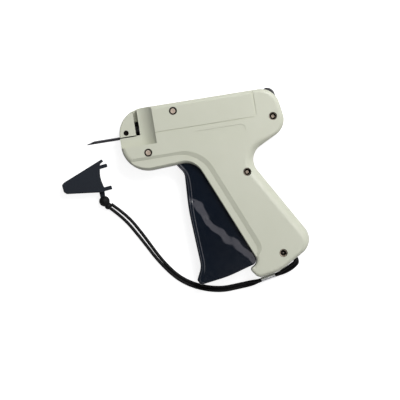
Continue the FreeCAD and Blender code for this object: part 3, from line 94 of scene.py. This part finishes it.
# ---------------------------------------------------------------------------------------------------
# Wrist cord: two strands from the hole in the grip to the knot
# ---------------------------------------------------------------------------------------------------

CORD_DIAMETER = 2.5 * MM
CORD_STEPS = 16  # of the curve, between two of its points
CORD_ROUNDNESS = 6

# middle line of the doubled cord: x, y, height, how far each strand stands beside it and above or below it
CORD_LINE = [
    (65.73, -59.16, 13.0, 0.0, 2.3),
    (68.4, -64.5, 12.6, 1.1, 1.0),
    (63.6, -68.2, 10.4, 1.35, 0.6),
    (56.5, -71.25, 6.4, 1.1, 1.0),
    (51.5, -72.8, 4.8, 0.2, 1.42),
    (36.0, -75.7, 3.45, 0.2, 1.42),
    (31.0, -76.4, 2.95, 1.15, 0.7),
    (23.0, -77.0, 2.05, 1.22, 0.5),
    (2.6, -78.1, 1.35, 1.24, 0.0),
    (-20.6, -68.9, 1.3, 1.22, 0.0),
    (-35.9, -51.8, 1.3, 1.22, 0.0),
    (-50.0, -24.9, 1.3, 1.65, 0.0),
    (-59.8, -8.9, 1.5, 1.7, 0.0),
    (-69.8, 0.8, 3.0, 1.5, 0.0),
]

# side of the middle line (+1 is above and inside), name, length in metres, the pieces that go with the strand
STRANDS = [
    (1, "upper", 0.1835, ["cord_bight", "cord_ferrule", "cord_knot", "needle_cap"]),
    (-1, "lower", 0.1876, []),
]


def strand_points(side):
    """The route of one strand."""
    points = []
    for i, (x, y, level, beside, above) in enumerate(CORD_LINE):
        before, after = neighbours(CORD_LINE, i)
        way = Vector((after[0] - before[0], after[1] - before[1])).normalized()
        points.append(mm(x + way.y * beside * side, y - way.x * beside * side, level + above * side))
    return points


def cord_curve(name, points, diameter):
    """A smooth cord along the points."""
    curve = bpy.data.curves.new(name, "CURVE")
    curve.dimensions = "3D"
    curve.bevel_depth = 1.0  # times each point's radius, which the shown box also takes in
    curve.bevel_resolution = CORD_ROUNDNESS
    curve.resolution_u = CORD_STEPS
    curve.use_fill_caps = True
    spline = curve.splines.new("NURBS")
    spline.points.add(len(points) - 1)
    for point, place in zip(spline.points, points):
        point.co = (*place, 1.0)
        point.radius = diameter / 2
    spline.order_u = 3
    spline.use_endpoint_u = True
    return add_object(name, curve)


strands = []
for side, name, length, others in STRANDS:
    strand = cord_curve(f"wrist_cord_{name}", strand_points(side), CORD_DIAMETER)
    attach(strand, HOUSING)
    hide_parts(f"cord_strand_{name}")
    strands.append(strand)

# ---------------------------------------------------------------------------------------------------
# Materials: shader nodes
# ---------------------------------------------------------------------------------------------------

MIX_FACTOR, MIX_FIRST, MIX_SECOND = 0, 6, 7  # the mix node's inputs for colours


def set_inputs(tree, node, values):
    """Sets inputs, by name or number, to a value or links them to a socket."""
    for label, value in values.items():
        if isinstance(value, (int, float, tuple)):
            node.inputs[label].default_value = value
        else:
            tree.links.new(value, node.inputs[label])


def object_place(tree):
    return tree.nodes.new("ShaderNodeTexCoord").outputs["Object"]


def noise(tree, vector, scale, detail=3.0, roughness=0.55):
    node = tree.nodes.new("ShaderNodeTexNoise")
    set_inputs(tree, node, {"Vector": vector, "Scale": scale, "Detail": detail, "Roughness": roughness})
    return node.outputs["Fac"]


def map_range(tree, value, low, high, to_low, to_high, smooth=False):
    node = tree.nodes.new("ShaderNodeMapRange")
    node.interpolation_type = "SMOOTHSTEP" if smooth else "LINEAR"
    set_inputs(tree, node, {"Value": value, "From Min": low, "From Max": high, "To Min": to_low, "To Max": to_high})
    return node.outputs["Result"]


def math_node(tree, operation, *values):
    node = tree.nodes.new("ShaderNodeMath")
    node.operation = operation
    set_inputs(tree, node, dict(enumerate(values)))
    return node.outputs[0]


def mix_colours(tree, factor, first, second):
    node = tree.nodes.new("ShaderNodeMix")
    node.data_type = "RGBA"
    set_inputs(tree, node, {MIX_FACTOR: factor, MIX_FIRST: first, MIX_SECOND: second})
    return node.outputs[2]


def bump_node(tree, height, strength, distance):
    node = tree.nodes.new("ShaderNodeBump")
    set_inputs(tree, node, {"Height": height, "Strength": strength, "Distance": distance})
    return node


def split_place(tree, place):
    node = tree.nodes.new("ShaderNodeSeparateXYZ")
    tree.links.new(place, node.inputs["Vector"])
    return node.outputs


def along(tree, parts, way):
    """How far a place, given by its parts, lies along a level direction."""
    return math_node(tree, "ADD", math_node(tree, "MULTIPLY", parts["X"], way[0]),
                     math_node(tree, "MULTIPLY", parts["Y"], way[1]))


def new_group(name, inputs):
    """A shader node group for surfaces; inputs are (name, type, default)."""
    group = bpy.data.node_groups.new(name, "ShaderNodeTree")
    for label, kind, default in inputs:
        socket = group.interface.new_socket(label, in_out="INPUT", socket_type=f"NodeSocket{kind}")
        socket.default_value = default
    for label, kind in (("Colour", "Color"), ("Roughness", "Float"), ("Height", "Float")):
        group.interface.new_socket(label, in_out="OUTPUT", socket_type=f"NodeSocket{kind}")
    return group, group.nodes.new("NodeGroupInput").outputs, group.nodes.new("NodeGroupOutput")


# ---------------------------------------------------------------------------------------------------
# Materials: surfaces
# ---------------------------------------------------------------------------------------------------

# scales of the noises, per metre
DRIFT_SCALE = 28.0
SWELL_SCALE = 260.0
SWELL_SHARE = 0.6  # of the moulded surface's height, against its grain
SCRATCH_SCALE = 4200.0
SCRATCH_STRETCH = (0.15, 1.0, 1.0)
PATCH_SCALE = 380.0
FIBRE_SCALE = 2600.0

# the middle of a noise's values: what lies below or above it counts as its end
BROAD_RANGE = (0.35, 0.65)
FINE_RANGE = (0.3, 0.7)
PATCH_RANGE = (0.4, 0.7)
MOULDED_SPREAD = (-0.05, 0.07)  # how far the roughness goes from its middle
METAL_SPREAD = (-0.08, 0.12)
METAL_BUMP_DEPTH = 0.05  # millimetres
CORD_DARK = (0.0015, 0.0015, 0.002, 1)
CORD_LIGHT = (0.006, 0.006, 0.007, 1)
CORD_ROUGHNESS = (0.55, 0.8)
CORD_SHEEN = 0.25
CORD_BUMP = (0.5, 0.1 * MM)  # strength and depth


def moulded_surface():
    """Colour drift, fine grain and gloss changes of an injection-moulded piece."""
    group, given, out = new_group("moulded_surface", [
        ("Colour", "Color", (0.8, 0.8, 0.8, 1)), ("Tint", "Color", (0.7, 0.7, 0.7, 1)), ("Drift", "Float", 0.3),
        ("Roughness", "Float", 0.4), ("Unevenness", "Float", 1.0), ("Grain Scale", "Float", 2500.0)])
    place = object_place(group)
    drift = map_range(group, noise(group, place, DRIFT_SCALE), *BROAD_RANGE, 0.0, 1.0)
    swell = noise(group, place, SWELL_SCALE, detail=5.0)
    spread = map_range(group, swell, *FINE_RANGE, *MOULDED_SPREAD)
    spread = math_node(group, "MULTIPLY", spread, given["Unevenness"])
    swell = math_node(group, "MULTIPLY", math_node(group, "MULTIPLY", swell, SWELL_SHARE), given["Unevenness"])
    grain = noise(group, place, given["Grain Scale"], detail=2.0, roughness=0.5)
    amount = math_node(group, "MULTIPLY", drift, given["Drift"])
    set_inputs(group, out, {
        "Colour": mix_colours(group, amount, given["Colour"], given["Tint"]),
        "Roughness": math_node(group, "ADD", given["Roughness"], spread),
        "Height": math_node(group, "ADD", grain, swell),
    })
    return group


def metal_surface():
    """Fine scratches and dull patches of a small steel part."""
    group, given, out = new_group("metal_surface", [
        ("Colour", "Color", (0.6, 0.6, 0.6, 1)), ("Dark", "Color", (0.3, 0.3, 0.3, 1)),
        ("Roughness", "Float", 0.3)])
    place = object_place(group)
    stretch = group.nodes.new("ShaderNodeMapping")
    set_inputs(group, stretch, {"Vector": place, "Scale": SCRATCH_STRETCH})
    scratches = noise(group, stretch.outputs["Vector"], SCRATCH_SCALE, detail=6.0, roughness=0.7)
    patches = map_range(group, noise(group, place, PATCH_SCALE), *PATCH_RANGE, 0.0, 0.6)
    spread = map_range(group, scratches, *FINE_RANGE, *METAL_SPREAD)
    set_inputs(group, out, {
        "Colour": mix_colours(group, patches, given["Colour"], given["Dark"]),
        "Roughness": math_node(group, "ADD", given["Roughness"], spread),
        "Height": scratches,
    })
    return group


MOULDED = moulded_surface()
METAL = metal_surface()


def new_material(name):
    material = bpy.data.materials.new(name)
    material.use_nodes = True
    tree = material.node_tree
    return material, tree, tree.nodes["Principled BSDF"]


def surface_material(name, surface, values, bump, bump_depth, metallic=0.0, ior=1.5):
    """A material whose colour, roughness and bump come from a surface group; the bump's depth is in millimetres."""
    material, tree, shader = new_material(name)
    group = tree.nodes.new("ShaderNodeGroup")
    group.node_tree = surface
    set_inputs(tree, group, values)
    relief = bump_node(tree, group.outputs["Height"], bump, bump_depth * MM)
    set_inputs(tree, shader, {
        "Base Color": group.outputs["Colour"], "Roughness": group.outputs["Roughness"],
        "Normal": relief.outputs["Normal"], "Metallic": metallic, "IOR": ior,
    })
    return material


def plastic(name, colour, tint, roughness, drift=0.5, grain=1800.0, uneven=1.0, bump=0.2, bump_depth=0.04, ior=1.5):
    values = {"Colour": (*colour, 1.0), "Tint": (*tint, 1.0), "Drift": drift, "Roughness": roughness,
              "Unevenness": uneven, "Grain Scale": grain}
    return surface_material(name, MOULDED, values, bump, bump_depth, ior=ior)


def metal(name, colour, dark, roughness, bump=0.1, metallic=1.0):
    values = {"Colour": (*colour, 1.0), "Dark": (*dark, 1.0), "Roughness": roughness}
    return surface_material(name, METAL, values, bump, METAL_BUMP_DEPTH, metallic=metallic)


def cord_material():
    """Round black cord with a braided sleeve."""
    material, tree, shader = new_material("braided_black_cord")
    fibres = noise(tree, object_place(tree), FIBRE_SCALE, detail=4.0)
    relief = bump_node(tree, fibres, *CORD_BUMP)
    set_inputs(tree, shader, {
        "Base Color": mix_colours(tree, fibres, CORD_DARK, CORD_LIGHT),
        "Roughness": map_range(tree, fibres, *FINE_RANGE, *CORD_ROUGHNESS),
        "Specular IOR Level": CORD_SHEEN, "Normal": relief.outputs["Normal"],
    })
    return material


# one for each slot of the record, and one for the small dark rims, which are painted shade of the screw pockets and
# of the nose pin's pocket
MATERIALS = {
    "housing": plastic("cream_plastic", (0.605, 0.617, 0.505), (0.565, 0.58, 0.465), 0.38,
                       grain=1500.0, bump=0.12),
    "trigger": plastic("navy_plastic", (0.0045, 0.0085, 0.016), (0.003, 0.005, 0.010), 0.12,
                       drift=0.6, grain=900.0, uneven=0.25, bump=0.08, bump_depth=0.03),
    "cap": plastic("slate_plastic", (0.009, 0.014, 0.022), (0.007, 0.010, 0.017), 0.5, drift=0.6, ior=1.33),
    "black_plastic": plastic("black_plastic", (0.008, 0.008, 0.009), (0.004, 0.004, 0.004), 0.4),
    "inner_plastic": plastic("white_acetal", (0.62, 0.62, 0.58), (0.52, 0.52, 0.47), 0.45, bump=0.15),
    "screw_steel": metal("zinc_plated_screws", (0.62, 0.52, 0.43), (0.40, 0.31, 0.23), 0.42,
                         bump=0.25, metallic=0.4),
    "pin_steel": metal("ground_pins", (0.012, 0.012, 0.009), (0.006, 0.006, 0.005), 0.35),
    "needle_steel": metal("polished_needle", (0.22, 0.215, 0.23), (0.14, 0.14, 0.145), 0.25, bump=0.08),
    "spring_steel": metal("spring_wire", (0.32, 0.32, 0.33), (0.16, 0.16, 0.17), 0.35),
    "ferrule": metal("crimped_ferrule", (0.93, 0.93, 0.94), (0.80, 0.80, 0.82), 0.25),
    "cord": cord_material(),
    # near-black rims: painted shade of the gaps in the screw pockets and of the nose pin's pocket
    "screw_rim_shade": plastic("painted_shade_screw_rims", (0.004, 0.003, 0.002), (0.010, 0.007, 0.003), 0.7,
                         drift=0.8, grain=1500.0, ior=1.25),
}

# the trigger's broad flat side sank a little in the mould, along a slanting and wandering line
SINK_WAY = (0.8, 0.6)  # across that line
SINK_PLACE = -9.4 * MM
SINK_HALF = 3.6 * MM  # of its slope's width
SINK_DEPTH = 0.62 * MM
SINK_DRIFT = 8.0 * MM  # how far the line wanders
SINK_DRIFT_SCALE = 50.0
SINK_DRIFT_RANGE = (0.25, 0.75)


def sink_trigger(material):
    """Adds the slanting sink to the trigger's bump."""
    tree = material.node_tree
    relief = next(node for node in tree.nodes if node.type == "BUMP")
    place = object_place(tree)
    wander = noise(tree, place, SINK_DRIFT_SCALE, detail=2.2, roughness=0.4)
    drift = map_range(tree, wander, *SINK_DRIFT_RANGE, -SINK_DRIFT / 2, SINK_DRIFT / 2)
    across = math_node(tree, "ADD", along(tree, split_place(tree, place), SINK_WAY), drift)
    slope = map_range(tree, across, SINK_PLACE - SINK_HALF, SINK_PLACE + SINK_HALF, SINK_DEPTH, 0.0, smooth=True)
    sink = bump_node(tree, slope, 1.0, 1.0)
    tree.links.new(sink.outputs["Normal"], relief.inputs["Normal"])


sink_trigger(MATERIALS["trigger"])


def paint(piece, material):
    piece.data.materials.clear()
    piece.data.materials.append(material)


# ---------------------------------------------------------------------------------------------------
# Small pieces that the imported model leaves out
# ---------------------------------------------------------------------------------------------------

# the screws: middle, height of the head, and how wide its dark rim is against the section below; the deeper pockets
# get wider rims, which is more painted shade
SCREWS = [
    (-9.4, 65.7, 25.5, 1.0), (-33.4, 36.7, 25.5, 1.0), (40.1, 9.9, 21.6, 1.55), (66.6, 49.5, 21.6, 1.5),
    (57.9, -56.7, 21.6, 2.1),
]
# section of a rim: distance from the screw's middle, height above its head
RIM_OUTER = 3.14
RIM_SECTION = [(1.88, -0.05), (1.94, 0.12), (2.2, 0.2), (2.55, 0.14), (2.9, -0.1), (RIM_OUTER, -0.6)]
RIM_STEPS = 40
# dark lining of the pocket over the nose plate's pin, painted shade of that pocket: middle and height of the pin's
# end, and its section
NOSE_PIN = (-48.1, 54.5, 18.4)
LINING_SECTION = [(0.7, 0.06), (1.2, 0.12), (1.5, 0.9), (1.74, 1.5), (1.84, 1.66), (1.98, 1.68), (2.06, 1.58)]

# inner edge of the bead down the trigger's front, from its top to its toe
BEAD_EDGE = [
    (-12.4, 24.6), (-8.3, 19.0), (-6.2, 14.5), (-6.1, 6.0), (-6.6, -3.0), (-7.3, -14.0), (-5.9, -40.0),
    (-4.8, -56.0), (-6.3, -62.0), (-9.0, -66.4), (-8.3, -69.0),
]
BEAD_TOP = 8.02  # from the parting plane, like its foot
BEAD_FOOT = 7.61
BEAD_SPREAD = (-0.9, 1.5)  # the slope between them, across the edge
BEAD_STEPS = 8
EDGE_STEPS = 6  # for each corner of the edge


def mesh_piece(name, points, faces, body, material):
    """A smooth new piece that rides on a body."""
    mesh = bpy.data.meshes.new(name)
    mesh.from_pydata(points, [], faces)
    mesh.polygons.foreach_set("use_smooth", [True] * len(faces))
    piece = add_object(name, mesh)
    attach(piece, body)
    paint(piece, MATERIALS[material])


def screw_rims():
    """The rounded dark rim of each screw head and of the nose plate's pin, each turned from a section; their
    near-black colour is painted shade of the pockets around them.
    """
    rims = [(x, y, head, [(RIM_OUTER - (RIM_OUTER - r) * width, rise) for r, rise in RIM_SECTION])
            for x, y, head, width in SCREWS]
    rims.append((*NOSE_PIN, LINING_SECTION))
    points, faces = [], []
    for x, y, head, section in rims:
        base, row = len(points), len(section)
        for step in range(RIM_STEPS):
            turn = 2 * math.pi * step / RIM_STEPS
            points += [mm(x + r * math.cos(turn), y + r * math.sin(turn), head + rise) for r, rise in section]
        for step in range(RIM_STEPS):
            here, there = base + step * row, base + (step + 1) % RIM_STEPS * row
            faces += [(here + i, here + i + 1, there + i + 1, there + i) for i in range(row - 1)]
    mesh_piece("screw_rims", points, faces, HOUSING, "screw_rim_shade")


def smooth_line(corners):
    """Points of the quadratic spline that the corners steer."""
    line = [Vector(corner) for corner in corners]
    middles = [line[0]] + [(a + b) / 2 for a, b in zip(line[1:-2], line[2:-1])] + [line[-1]]
    points = []
    for start, corner, end in zip(middles, line[1:-1], middles[1:]):
        for step in range(EDGE_STEPS):
            share = step / EDGE_STEPS
            points.append(start * (1 - share) ** 2 + corner * 2 * share * (1 - share) + end * share**2)
    return points + [line[-1]]


def bead_slopes():
    """The smooth slope from the trigger's bead down to its recessed side, on both side faces."""
    line = smooth_line(BEAD_EDGE)
    row = BEAD_STEPS + 1
    for side, name in ((1, "left"), (-1, "right")):
        points, faces = [], []
        for i, place in enumerate(line):
            before, after = neighbours(line, i)
            way = (after - before).normalized()
            for step in range(row):
                share = step / BEAD_STEPS
                across = BEAD_SPREAD[0] + (BEAD_SPREAD[1] - BEAD_SPREAD[0]) * share
                drop = share * share * (3 - 2 * share)
                height = PARTING_PLANE + side * (BEAD_TOP + (BEAD_FOOT - BEAD_TOP) * drop)
                points.append(mm(place.x - way.y * across, place.y + way.x * across, height))
        for i in range(len(line) - 1):
            here, there = i * row, (i + 1) * row
            quads = [(here + j, there + j, there + j + 1, here + j + 1) for j in range(BEAD_STEPS)]
            faces += [quad[::side] for quad in quads]
        mesh_piece(f"trigger_bead_{name}", points, faces, TRIGGER, "trigger")


screw_rims()
bead_slopes()

for part in frame["record"]["subparts"]:
    paint(NODES[part["node"]], MATERIALS[part["material_slot"]])
for strand in strands:
    paint(strand, MATERIALS["cord"])

# ---------------------------------------------------------------------------------------------------
# Floor, lights, world
# ---------------------------------------------------------------------------------------------------

WHITE = (1, 1, 1, 1)
FLOOR_HALF = 3.0
FLOOR_GREY = (0.5, 0.5, 0.5, 1)
FLOOR_ROUGHNESS = 0.9
FLOOR_SEEN = 0.85  # its own light for the camera, on top of the lamps'
FLOOR_MIRRORED = 0.45  # and for reflections

# name, place, width, power, colour; each shines on the origin
LAMPS = [
    ("key", (0.36, 0.42, 0.75), 0.45, 6.7, (1, 1, 1)),
    ("fill", (0.3, -0.5, 1.5), 0.9, 3.4, (1, 1, 1)),
    ("sheen", (0.33, 0.20, 1.5), 0.5, 1.3, (0.95, 0.91, 1.0)),
]

WALL_RANGE = (0.05, 0.85)  # rise of a direction at the walls' foot and at the ceiling
WALL_LIGHT = 1.1  # at the walls' foot
CEILING_LIGHT = 0.08
WALL_COLOUR = (0.93, 0.94, 1.0, 1)
BRIGHT_WAY = (0.75, 0.66)  # towards the bright wall
BRIGHT_RANGE = (0.0, 0.9)  # how far along that way the light grows
NEAR_SHARE = 0.2  # of that light, on the side away from the bright wall
FAR_SHARE = 1.0  # and on the bright wall


def make_floor():
    """A pale floor that the camera sees as white, but for the tool's shadow."""
    mesh = bpy.data.meshes.new("floor")
    half = FLOOR_HALF
    mesh.from_pydata([(-half, -half, 0), (half, -half, 0), (half, half, 0), (-half, half, 0)], [], [(0, 1, 2, 3)])
    floor = add_object("floor", mesh)
    material, tree, shader = new_material("white_floor")
    rays = tree.nodes.new("ShaderNodeLightPath").outputs
    mirrored = math_node(tree, "MAXIMUM", rays["Is Glossy Ray"], rays["Is Transmission Ray"])
    mirrored = math_node(tree, "MULTIPLY", mirrored, FLOOR_MIRRORED)
    seen = math_node(tree, "MULTIPLY", rays["Is Camera Ray"], FLOOR_SEEN)
    set_inputs(tree, shader, {
        "Base Color": FLOOR_GREY, "Roughness": FLOOR_ROUGHNESS, "Specular IOR Level": 0.0, "Emission Color": WHITE,
        "Emission Strength": math_node(tree, "MAXIMUM", seen, mirrored),
    })
    paint(floor, material)


def area_light(name, place, width, power, colour):
    light = bpy.data.lights.new(name, "AREA")
    light.size = width
    light.energy = power
    light.color = colour
    lamp = add_object(name, light)
    lamp.location = place
    lamp.rotation_euler = (-Vector(place)).to_track_quat("-Z", "Y").to_euler()


def make_world():
    """A room whose walls are bright and whose ceiling is dim, so that only rounded edges catch its light."""
    world = bpy.data.worlds.new("studio")
    bpy.context.scene.world = world
    world.use_nodes = True
    tree = world.node_tree
    parts = split_place(tree, tree.nodes.new("ShaderNodeTexCoord").outputs["Generated"])
    room = map_range(tree, parts["Z"], *WALL_RANGE, WALL_LIGHT, CEILING_LIGHT)
    side = map_range(tree, along(tree, parts, BRIGHT_WAY), *BRIGHT_RANGE, NEAR_SHARE, FAR_SHARE)
    room = math_node(tree, "MULTIPLY", room, side)
    rays = tree.nodes.new("ShaderNodeLightPath").outputs
    seen = math_node(tree, "MAXIMUM", rays["Is Camera Ray"], rays["Is Transmission Ray"])
    set_inputs(tree, tree.nodes["Background"], {
        "Color": mix_colours(tree, seen, WALL_COLOUR, WHITE),
        "Strength": map_range(tree, seen, 0.0, 1.0, room, 1.0),
    })


make_floor()
make_world()
for lamp in LAMPS:
    area_light(*lamp)

view = bpy.context.scene.view_settings
view.view_transform = "Standard"
